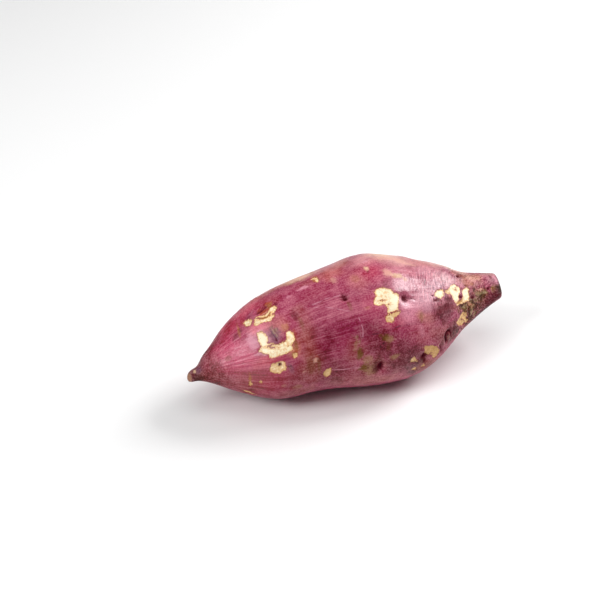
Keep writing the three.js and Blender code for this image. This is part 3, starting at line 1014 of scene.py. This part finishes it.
class SkinShader:
    """The nodes of a root's skin."""

    # What is painted on the skin, by the output of the node that reads it.
    PAINTED = {
        "Fac": (
            "bare", "age", "hollow", "stained", "folds", "waxy", "streaky",
            "line_side", "line_near",
        ),
        "Vector": ("rolled", "leaned"),
        "Color": ("tint", "line_colour"),
    }

    def __init__(self, finish: RootSkin, tree: bpy.types.NodeTree) -> None:
        """Take up what the shader reads.

        Args:
            finish: The finish to show.
            tree: The material's tree, empty.
        """
        self.finish = finish
        self.add = partial(add_node, tree)
        self.painted = {
            name: self.add("Attribute", wanted=output, attribute_name=name)
            for output, names in self.PAINTED.items()
            for name in names
        }
        metres = self.add("TexCoord", wanted="Object")
        self.painted[Run.EVEN.value] = self.add(
            "VectorMath", {0: metres, "Scale": 1 / MM}, operation="SCALE"
        )
        self.noises: dict[Pattern, Socket] = {}

    def build(self) -> None:
        """Put the skin together, from its colour to its gloss."""
        colour = self._lined(self._streaked())
        colour, bare = self._rubbed(colour)
        colour, hollow = self._holed(colour)
        surface = self.add(
            "BsdfPrincipled",
            {
                "Base Color": colour,
                "Roughness": self._roughness(bare, hollow),
                "Normal": self._relief(bare),
                "IOR": self.finish.ior,
                "Specular IOR Level": self._gloss(hollow),
            },
        )
        self.add("OutputMaterial", {"Surface": surface})

    def _noise(self, pattern: Pattern) -> Socket:
        """Draw a pattern, or take it up again if it is there.

        Args:
            pattern: The pattern.

        Returns:
            Its noise, 0 to 1.
        """
        if pattern not in self.noises:
            size = pattern.size
            sizes = size if isinstance(size, tuple) else (size, size, size)
            scaled = self.add(
                "Mapping",
                {
                    "Vector": self.painted[pattern.run.value],
                    "Scale": [1 / width for width in sizes],
                    "Location": [pattern.shift] * 3,
                },
            )
            self.noises[pattern] = self.add(
                "TexNoise",
                {
                    "Vector": scaled,
                    "Scale": 1.0,
                    "Detail": pattern.detail,
                    "Distortion": pattern.wavy,
                },
            )
        return self.noises[pattern]

    def _shaded(self, colour: Socket, pattern: Pattern, share: Socket) -> Socket:
        """Deepen the skin and lay pale bloom on it by a pattern, with its mean kept.

        Args:
            colour: The skin's colour.
            pattern: The pattern.
            share: How much of the pattern shows.

        Returns:
            The shaded colour.
        """
        swing = self.add(
            "MapRange",
            {
                "Value": self._noise(pattern),
                "From Min": NOISE_LOW,
                "From Max": NOISE_HIGH,
                "To Min": -pattern.contrast,
                "To Max": pattern.contrast,
            },
        )
        shade = self.add("Math", {0: swing, 1: share}, operation="MULTIPLY")
        pale, deep = linear(self.finish.pale), linear(self.finish.deep)
        bloom = [above - below for above, below in zip(pale[:3], deep[:3])]
        return self.add("VectorMath", {0: shade, 1: bloom, 2: colour}, operation="MULTIPLY_ADD")

    def _summed(self, start: Socket | float, *layers: tuple[Socket, float]) -> Socket:
        """Add layers up.

        Args:
            start: What they are added to.
            *layers: Each layer and how much of it is added.

        Returns:
            The sum.
        """
        for layer, weight in layers:
            start = self.add("Math", {0: layer, 1: weight, 2: start}, operation="MULTIPLY_ADD")
        return start

    def _covered(
        self,
        under: Socket | tuple,
        over: Socket | tuple,
        value: Socket,
        low: float,
        high: float,
        top: Socket | float = 1.0,
    ) -> tuple[Socket, Socket]:
        """Lay a colour over another where a value is high enough.

        Args:
            under: The colour below.
            over: The colour on top.
            value: What is looked at.
            low: The value at which nothing of the top colour shows.
            high: The value from which the most of it shows.
            top: That most.

        Returns:
            The new colour, and how much of the top colour shows.
        """
        share = self.add(
            "MapRange",
            {"Value": value, "From Min": low, "From Max": high, "To Min": 0.0, "To Max": top},
            interpolation_type="SMOOTHSTEP",
        )
        return self.add("Mix", {0: share, 6: under, 7: over}, 2, data_type="RGBA"), share

    def _streaked(self) -> Socket:
        """Colour the whole skin: its tints, its streaks along the root, painted shade and highlight
        on its folds, and its grain.

        Returns:
            The colour.
        """
        skin, tint, streaky = self.finish, self.painted["tint"], self.painted["streaky"]
        plain = self._summed(1.0, (streaky, -0.5))  # half the speckle where the skin is streaky
        colour = tint
        for pattern, share in (
            (skin.bands, streaky),
            (skin.streaks, streaky),
            (skin.fibres, streaky),
            # The folds: painted shade in their valleys, painted highlight on their ridges.
            (skin.creases, self.painted["folds"]),
            (skin.mottle, plain),
            (skin.grain, plain),
        ):
            colour = self._shaded(colour, pattern, share)
        darkest = self.add("VectorMath", {0: tint, "Scale": skin.darkest}, operation="SCALE")
        colour = self.add("VectorMath", {0: colour, 1: darkest}, operation="MAXIMUM")
        # Soil and stains keep their own colour: they lie on the skin and hide its pattern.
        return self._covered(colour, tint, self.painted["stained"], low=0.1, high=0.9, top=0.6)[0]

    def _lined(self, colour: Socket) -> Socket:
        """Draw the thin scratches.

        Args:
            colour: The colour below.

        Returns:
            The colour with the scratches on it.
        """
        off = self.add("Math", {0: self.painted["line_side"]}, operation="ABSOLUTE")
        strongest = 0.65
        top = self.add("Math", {0: self.painted["line_near"], 1: strongest}, operation="MULTIPLY")
        drawn = self.painted["line_colour"]
        return self._covered(colour, drawn, off, low=0.38, high=0.1, top=top)[0]

    def _rubbed(self, colour: Socket) -> tuple[Socket, Socket]:
        """Show the flesh where the skin is gone, with a torn brown edge.

        Args:
            colour: The skin's colour.

        Returns:
            The colour, and how bare each place is.
        """
        skin, age = self.finish, self.painted["age"]
        fresh, deep = linear(skin.flesh_fresh), linear(skin.flesh_deep)
        torn = linear(skin.torn_edge)
        curing = self._noise(skin.curing)
        # The millimetres inside the patch, and about 0.85 more, which varies along its ragged edge.
        depth = self._summed(self.painted["bare"], (self._noise(skin.ragged), 1.7))
        colour, _ = self._covered(colour, torn, depth, low=0.35, high=0.8, top=0.7)
        flesh, _ = self._covered(fresh, deep, depth, low=1.7, high=0.9)
        cured = self._summed(curing, (age, 0.7))
        flesh, _ = self._covered(flesh, deep, cured, low=0.5, high=0.8, top=0.8)
        old = self._summed(age, (curing, 0.9))
        flesh, _ = self._covered(flesh, linear(skin.flesh_corky), old, low=0.5, high=1.45)
        flesh, _ = self._covered(flesh, torn, self._noise(skin.crumbs), low=0.7, high=0.78, top=0.8)
        return self._covered(colour, flesh, depth, low=0.75, high=0.95)

    def _holed(self, colour: Socket) -> tuple[Socket, Socket]:
        """Darken the eyes, scars and cracks; the darkest colour, down in them, is partly painted
        shade.

        Args:
            colour: The colour below.

        Returns:
            The colour, and how dark each place is.
        """
        skin = self.finish
        depth = self._summed(self.painted["hollow"], (self._noise(skin.frayed), 0.7))
        colour, hollow = self._covered(
            colour, linear(skin.scar), depth, low=0.5, high=1.1, top=0.95
        )
        # Down in a pit or crack the colour goes near black: partly dark tissue, partly painted
        # shade.
        colour, _ = self._covered(colour, linear(skin.hole), depth, low=0.95, high=1.5, top=0.9)
        return colour, hollow

    def _gloss(self, hollow: Socket) -> Socket:
        """Let the waxy skin mirror more than the dull skin, and soil and holes hardly at all.

        Args:
            hollow: How dark each place is.

        Returns:
            How strongly it mirrors.
        """
        level = self.add(
            "MapRange",
            {
                "Value": self.painted["waxy"],
                "To Min": self.finish.specular_dull,
                "To Max": self.finish.specular_waxy,
            },
        )
        for mask, loss in ((self.painted["stained"], 0.7), (hollow, 1.0)):
            kept = self._summed(1.0, (mask, -loss))
            level = self.add("Math", {0: level, 1: kept}, operation="MULTIPLY")
        return level

    def _roughness(self, bare: Socket, hollow: Socket) -> Socket:
        """Give the skin its low gloss, and less where it is stained, bare or sunk.

        Args:
            bare: How bare each place is.
            hollow: How dark each place is.

        Returns:
            The roughness.
        """
        spread = self.finish.gloss_spread
        layers = (self._noise(self.finish.fibres), self.painted["stained"], bare, hollow)
        start = self.finish.gloss_rough - spread / 2
        return self._summed(start, *[(layer, spread) for layer in layers])

    def _relief(self, bare: Socket) -> Socket:
        """Add what is too fine for the mesh: fibres, pebbling, fine folds and the torn edges.

        Args:
            bare: How bare each place is.

        Returns:
            The bumped normal.
        """
        skin = self.finish
        creases = self.add(
            "Math", {0: self._noise(skin.creases), 1: self.painted["folds"]}, operation="MULTIPLY"
        )
        height = self._summed(  # in millimetres
            0.0,
            (self._noise(skin.fibres), 0.15),
            (self._noise(skin.pebbles), 0.16),
            (creases, 1.2),
            (bare, -0.18),
        )
        return self.add("Bump", {"Height": height, "Distance": MM, "Strength": 0.8})


# ------ The root ------


@dataclass
class SweetPotato:
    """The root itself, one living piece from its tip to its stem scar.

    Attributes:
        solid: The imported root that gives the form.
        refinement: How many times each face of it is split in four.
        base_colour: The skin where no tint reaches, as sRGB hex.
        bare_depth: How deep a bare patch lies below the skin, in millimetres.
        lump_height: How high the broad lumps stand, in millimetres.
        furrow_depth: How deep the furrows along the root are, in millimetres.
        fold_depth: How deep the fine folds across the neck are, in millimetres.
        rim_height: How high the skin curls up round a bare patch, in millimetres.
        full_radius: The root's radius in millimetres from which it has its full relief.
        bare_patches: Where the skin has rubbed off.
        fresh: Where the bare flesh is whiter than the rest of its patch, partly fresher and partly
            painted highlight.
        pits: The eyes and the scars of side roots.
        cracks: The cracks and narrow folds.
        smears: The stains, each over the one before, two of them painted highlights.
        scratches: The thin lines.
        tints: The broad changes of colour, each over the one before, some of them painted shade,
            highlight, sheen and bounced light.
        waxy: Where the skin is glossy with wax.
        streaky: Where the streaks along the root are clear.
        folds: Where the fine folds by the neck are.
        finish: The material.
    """

    solid: bpy.types.Object
    refinement: int = 2
    base_colour: str = "#a64a62"
    bare_depth: float = 0.3
    lump_height: float = 0.35
    furrow_depth: float = 0.16
    fold_depth: float = 0.3
    rim_height: float = 0.08
    full_radius: float = 4.0
    bare_patches: tuple[BarePatch, ...] = BARE_PATCHES
    fresh: tuple[Blob, ...] = FRESH_AND_HIGHLIT
    pits: tuple[Pit, ...] = PITS
    cracks: tuple[Crack, ...] = CRACKS
    smears: tuple[Smear, ...] = SMEARS_AND_HIGHLIGHTS
    scratches: tuple[Scratch, ...] = SCRATCHES
    tints: tuple[Tint, ...] = TINTS_AND_PAINTED_LIGHT
    waxy: tuple[Blob, ...] = WAXY
    streaky: tuple[Blob, ...] = STREAKY
    folds: tuple[Blob, ...] = FOLDS
    finish: RootSkin = field(default_factory=RootSkin)

    def build(self) -> bpy.types.Object:
        """Make the skin, carve it, paint it and put it in the place of the solid.

        Returns:
            The finished skin.
        """
        skin = self._fine_copy()
        chart = SkinChart(skin.data)
        painting = self._painting(chart)
        self._carve(skin.data, chart, painting)
        self._paint(skin.data, painting)
        skin.data.materials.clear()
        skin.data.materials.append(self.finish.material())
        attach(skin, "root")
        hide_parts(self.solid.name)
        return skin

    def _fine_copy(self) -> bpy.types.Object:
        """Copy the solid as one closed skin of small, smooth faces.

        Returns:
            The copy, with its modifier applied.
        """
        skin = bpy.data.objects.new("root_skin", self.solid.data.copy())
        bpy.context.scene.collection.objects.link(skin)
        bpy.ops.object.select_all(action="DESELECT")
        skin.select_set(True)
        bpy.context.view_layer.objects.active = skin
        bpy.ops.object.mode_set(mode="EDIT")
        bpy.ops.mesh.select_all(action="SELECT")
        bpy.ops.mesh.remove_doubles(threshold=0.01 * MM)
        bpy.ops.mesh.tris_convert_to_quads(face_threshold=math.pi, shape_threshold=math.pi)
        bpy.ops.mesh.normals_make_consistent(inside=False)
        bpy.ops.object.mode_set(mode="OBJECT")
        finer = skin.modifiers.new("finer", "SUBSURF")
        finer.levels = finer.render_levels = self.refinement
        bpy.ops.object.modifier_apply(modifier=finer.name)
        bpy.ops.object.shade_smooth()
        return skin

    def _painting(self, chart: SkinChart) -> Painting:
        """Work out all that is painted on the skin.

        Args:
            chart: Where the vertices are.

        Returns:
            What the material reads.
        """
        bare, age = self._bare(chart)
        side, near, line_colour = self._lines(chart)
        tint, stained = self._stained(chart)
        return {
            "bare": bare,
            "age": age,
            "hollow": self._hollow(chart),
            "folds": chart.cover_of(self.folds, edge=1.3, core=0.5, least=0.0),
            "waxy": chart.cover_of(self.waxy, edge=1.3, core=0.4, least=0.0),
            "streaky": chart.cover_of(self.streaky, edge=1.3, core=0.5, least=0.25),
            "line_side": side,
            "line_near": near,
            "line_colour": line_colour,
            "tint": tint,
            "stained": stained,
            "rolled": chart.rolled,
            "leaned": chart.leaned,
        }

    def _hollow(self, chart: SkinChart) -> np.ndarray:
        """Say how dark the pits and cracks make each vertex.

        Args:
            chart: Where the vertices are.

        Returns:
            0 on the open skin, and 1 or more where it is darkest.
        """
        hollow = chart.level(0.0)
        for pit in self.pits:
            share = chart.share_of_blob(pit.blob)
            hollow = np.maximum(hollow, pit.dark * bell(share, 0.0, 1 / 1.15))
        for crack in self.cracks:
            distance, _ = chart.from_path(crack.path)
            hollow = np.maximum(hollow, crack.dark * bell(distance, 0.0, crack.width * 0.45))
        return hollow

    def _bare(self, chart: SkinChart) -> tuple[np.ndarray, np.ndarray]:
        """Outline the bare patches, with the uneven edge that torn skin has.

        Args:
            chart: Where the vertices are.

        Returns:
            How many millimetres inside a patch each vertex is, and how old the flesh is there.
        """
        rounding = 0.35  # millimetres, where two shapes of a patch meet
        limit = 8.0  # millimetres, beyond which the rounding has no effect
        farthest, age_reach = 4.0, 3.0  # millimetres, what is told apart outside a patch
        uneven = 0.45 * lumps(chart.points, 2.2, 1) + 0.4 * lumps(chart.points, 1.0, 2)
        deepest, age = chart.level(-farthest), chart.level(0.0)
        for patch in self.bare_patches:
            depths = np.array([chart.depth_in(shape) for shape in patch.shapes])
            joined = np.exp(np.clip(depths, -limit, limit) / rounding).sum(axis=0)
            depth = rounding * np.log(joined) + uneven
            for island in patch.islands:
                depth = np.minimum(depth, -chart.depth_in(island))
            age = np.where(depth > np.maximum(deepest, -age_reach), patch.age, age)
            deepest = np.maximum(deepest, depth)
        # Younger, whiter flesh in the fresh blobs: partly fresher flesh, partly painted highlight.
        for blob in self.fresh:
            age -= 0.5 * smooth_step(chart.share_of_blob(blob), 1.2, 0.4)
        return np.clip(deepest, -farthest, farthest), age + 0.12 * lumps(chart.points, 4.5, 6)

    def _lines(self, chart: SkinChart) -> tuple[np.ndarray, np.ndarray, np.ndarray]:
        """Lay out the scratches.

        Args:
            chart: Where the vertices are.

        Returns:
            Millimetres to one side of the nearest line, how near it is, and its colour.
        """
        far_off = 9.0  # millimetres, where no line shows
        nearest, side = chart.level(far_off), chart.level(far_off)
        colour = np.tile(linear(Line.SCRATCH.value), (len(nearest), 1))
        wander = 0.45 * lumps(chart.points, 5.0, 3) + 0.15 * lumps(chart.points, 1.6, 4)
        for scratch in self.scratches:
            distance, offset = chart.from_path(scratch.path)
            nearer = distance < nearest
            nearest = np.where(nearer, distance, nearest)
            side = np.where(nearer, offset + wander, side)
            colour[nearer] = linear(scratch.line.value)
        worn = smooth_step(lumps(chart.points, 3.0, 5), -0.35, 0.1)
        return side, smooth_step(nearest, 1.6, 0.7) * worn, colour

    def _stained(self, chart: SkinChart) -> tuple[np.ndarray, np.ndarray]:
        """Mix the tints and lay the smears over them.

        Args:
            chart: Where the vertices are.

        Returns:
            The colour of each vertex, and how much of it is stained.
        """
        stained = chart.level(0.0)
        colour = np.tile(linear(self.base_colour), (len(stained), 1))
        drift = 0.35 * lumps(chart.points, 9, 21) + 0.25 * lumps(chart.points, 4, 22)
        for tint in self.tints:
            share = chart.share_of_blob(tint.blob) + drift
            weight = tint.strength * smooth_step(share, 1.35, 0.2)
            colour += (np.array(linear(tint.colour)) - colour) * weight[:, None]
        ragged = 0.42 * lumps(chart.points, 2.1, 23) + 0.36 * lumps(chart.points, 1.0, 24)
        for smear in self.smears:
            share = chart.share_of_blob(smear.blob) + ragged
            weight = smear.strength * smooth_step(share, 1.3, 0.55)
            colour += (np.array(linear(smear.stain.value)) - colour) * weight[:, None]
            stained = np.maximum(stained, weight)
        return colour, stained

    def _carve(self, mesh: bpy.types.Mesh, chart: SkinChart, painting: Painting) -> None:
        """Cut the relief into the skin.

        Args:
            mesh: The skin.
            chart: Where its vertices are.
            painting: What covers each vertex.
        """
        bare = painting["bare"]
        # The root is a little lumpy all over, with shallow furrows along it and folds at its neck.
        relief = self.lump_height * (lumps(chart.points, 15, 11) + 0.5 * lumps(chart.points, 7, 12))
        furrows = np.abs(lumps(chart.rolled, (34, 5.2, 5.2), 13))
        relief -= self.furrow_depth * smooth_step(furrows, 0.16, 0.0)
        relief += 0.5 * self.furrow_depth * lumps(chart.rolled, (20, 2.6, 2.6), 14)
        across = np.abs(lumps(chart.leaned, (1.4, 8, 8), 15))
        relief -= self.fold_depth * painting["folds"] * smooth_step(across, 0.2, 0.0)
        # A bare patch lies low and is rough, inside a raised rim.
        relief -= self.bare_depth * smooth_step(bare, -0.5, 0.1)
        relief += self.rim_height * bell(bare, -0.8, 0.35)
        relief += 0.05 * smooth_step(bare, -0.3, 0.2) * lumps(chart.points, 1.3, 16)
        for pit in self.pits:
            share = chart.share_of_blob(pit.blob)
            relief += pit.lip * bell(share, 1.7, 0.5) - pit.depth * bell(share, 0.0, 1.0)
        for crack in self.cracks:
            distance, _ = chart.from_path(crack.path)
            lip = 0.2 * bell(distance, crack.width * 1.1, 0.6)
            relief += crack.depth * (lip - bell(distance, 0.0, crack.width * 0.5))
        # There is no relief in the middle of the two ends, and none goes through the ground.
        thick = smooth_step(chart.radius, 0.5, self.full_radius)
        moved = chart.points + chart.normals * (relief * thick)[:, None]
        moved[:, 2] = np.maximum(moved[:, 2], 0)
        mesh.vertices.foreach_set("co", (moved * MM).astype(np.float32).ravel())
        mesh.update()

    def _paint(self, mesh: bpy.types.Mesh, painting: Painting) -> None:
        """Write the painting onto the skin, for the material to read.

        Args:
            mesh: The skin.
            painting: What is painted on it.
        """
        kinds = {1: ("FLOAT", "value"), 3: ("FLOAT_VECTOR", "vector"), 4: ("FLOAT_COLOR", "color")}
        for name, values in painting.items():
            kind, item = kinds[values.size // len(values)]
            layer = mesh.attributes.new(name, kind, "POINT")
            layer.data.foreach_set(item, values.astype(np.float32).ravel())


# ------ The studio ------


@dataclass(frozen=True)
class Softbox:
    """A square soft light that looks at the root.

    Attributes:
        name: What it is called.
        direction: Where it stands, as seen from the root.
        distance: How far off it is, in metres.
        size: The length of its side, in metres.
        power: Its power in watts.
    """

    name: str
    direction: tuple[float, float, float]
    distance: float
    size: float
    power: float

    def place(self) -> None:
        """Add the light to the scene."""
        light = bpy.data.lights.new(self.name, "AREA")
        light.shape = "SQUARE"
        light.size = self.size
        light.energy = self.power
        lamp = bpy.data.objects.new(self.name, light)
        towards = Vector(self.direction).normalized()
        lamp.location = towards * self.distance
        lamp.rotation_euler = towards.to_track_quat("Z", "Y").to_euler()
        bpy.context.scene.collection.objects.link(lamp)


@dataclass
class Studio:
    """A white table, soft light from above and both sides, and the camera.

    Attributes:
        floor_side: The length of the table's side, in metres.
        floor_colour: Its matt white paint, as sRGB hex.
        floor_rough: The paint's roughness.
        daylight: How strong the even light of the room is.
        azimuth: Degrees that the camera stands to the right of straight in front.
        elevation: Degrees that it looks down.
        camera_distance: How far it is from the root, in metres.
        lens: Its focal length, in millimetres.
        near_clip: The nearest that it sees, in metres.
        aim: Millimetres that it looks to the right of the root's middle and above it, and how high
            that middle is.
        softboxes: The lights.
    """

    floor_side: float = 6.0
    floor_colour: str = "#f4f4f4"
    floor_rough: float = 0.9
    daylight: float = 0.1
    azimuth: float = -23.0
    elevation: float = 36.0
    camera_distance: float = 0.8
    lens: float = 95.2
    near_clip: float = 0.05
    aim: tuple[float, float, float] = (-25.9, 13.1, 30.0)
    softboxes: tuple[Softbox, ...] = (
        Softbox("right_softbox", (0.80, 0.10, 0.58), 1.2, 0.6, 14.0),
        Softbox("overhead_softbox", (0.0, -0.1, 1.0), 1.2, 1.0, 5.0),
        Softbox("left_softbox", (-0.74, -0.18, 0.64), 1.2, 0.45, 8.0),
    )

    def build(self) -> None:
        """Set up the floor, the light and the camera."""
        self._floor()
        self._daylight()
        for softbox in self.softboxes:
            softbox.place()
        self._camera()
        bpy.context.scene.view_settings.view_transform = "Standard"

    def _floor(self) -> None:
        """Lay the floor that the root rests on: a table with matt white paint, rolled on evenly.

        It scatters the light alike all over and mirrors nothing, so that only the shadow shows.
        """
        bpy.ops.object.select_all(action="DESELECT")
        bpy.ops.mesh.primitive_plane_add(size=self.floor_side)
        floor = bpy.context.active_object
        floor.name = "studio_floor"
        paint = bpy.data.materials.new("matt_white_table")
        paint.use_nodes = True
        shader = paint.node_tree.nodes["Principled BSDF"]
        shader.inputs["Base Color"].default_value = linear(self.floor_colour)
        shader.inputs["Roughness"].default_value = self.floor_rough
        floor.data.materials.append(paint)

    def _daylight(self) -> None:
        """Fill the room with even light, and show it white where the camera sees past the floor."""
        world = bpy.data.worlds.new("soft_daylight")
        world.use_nodes = True
        world.node_tree.nodes.clear()
        add = partial(add_node, world.node_tree)
        seen = add("LightPath", wanted="Is Camera Ray")
        white = linear("#ffffff")
        fill = add("Background", {"Color": white, "Strength": self.daylight})
        backdrop = add("Background", {"Color": white, "Strength": 1.0})
        mixed = add("MixShader", {0: seen, 1: fill, 2: backdrop})
        add("OutputWorld", {"Surface": mixed})
        bpy.context.scene.world = world

    def _camera(self) -> None:
        """Stand the camera above and in front of the root, a little towards its tip."""
        turn, lift = math.radians(self.azimuth), math.radians(self.elevation)
        back = Vector(
            (math.sin(turn) * math.cos(lift), -math.cos(turn) * math.cos(lift), math.sin(lift))
        )
        right = (-back).cross(Vector((0, 0, 1))).normalized()
        up = right.cross(-back)
        beside, above, height = self.aim
        middle = Vector((0, 0, height * MM))
        lens = bpy.data.cameras.new("studio_camera")
        lens.lens = self.lens
        lens.clip_start = self.near_clip
        camera = bpy.data.objects.new("studio_camera", lens)
        camera.location = middle + back * self.camera_distance
        target = middle + (right * beside + up * above) * MM
        level = back.to_track_quat("Z", "Y")
        swing = back.rotation_difference(camera.location - target)
        camera.rotation_euler = (swing @ level).to_euler()
        bpy.context.scene.collection.objects.link(camera)
        bpy.context.scene.camera = camera


def main() -> None:
    """Build the root and the studio, in order."""
    logging.basicConfig(level=logging.INFO, format="%(name)s: %(message)s")
    skin = SweetPotato(solid=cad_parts["sweet_potato"]).build()
    LOG.info("%s: %d faces", skin.name, len(skin.data.polygons))
    Studio().build()
    LOG.info("studio: floor, softboxes and camera")


if __name__ == "__main__":
    main()
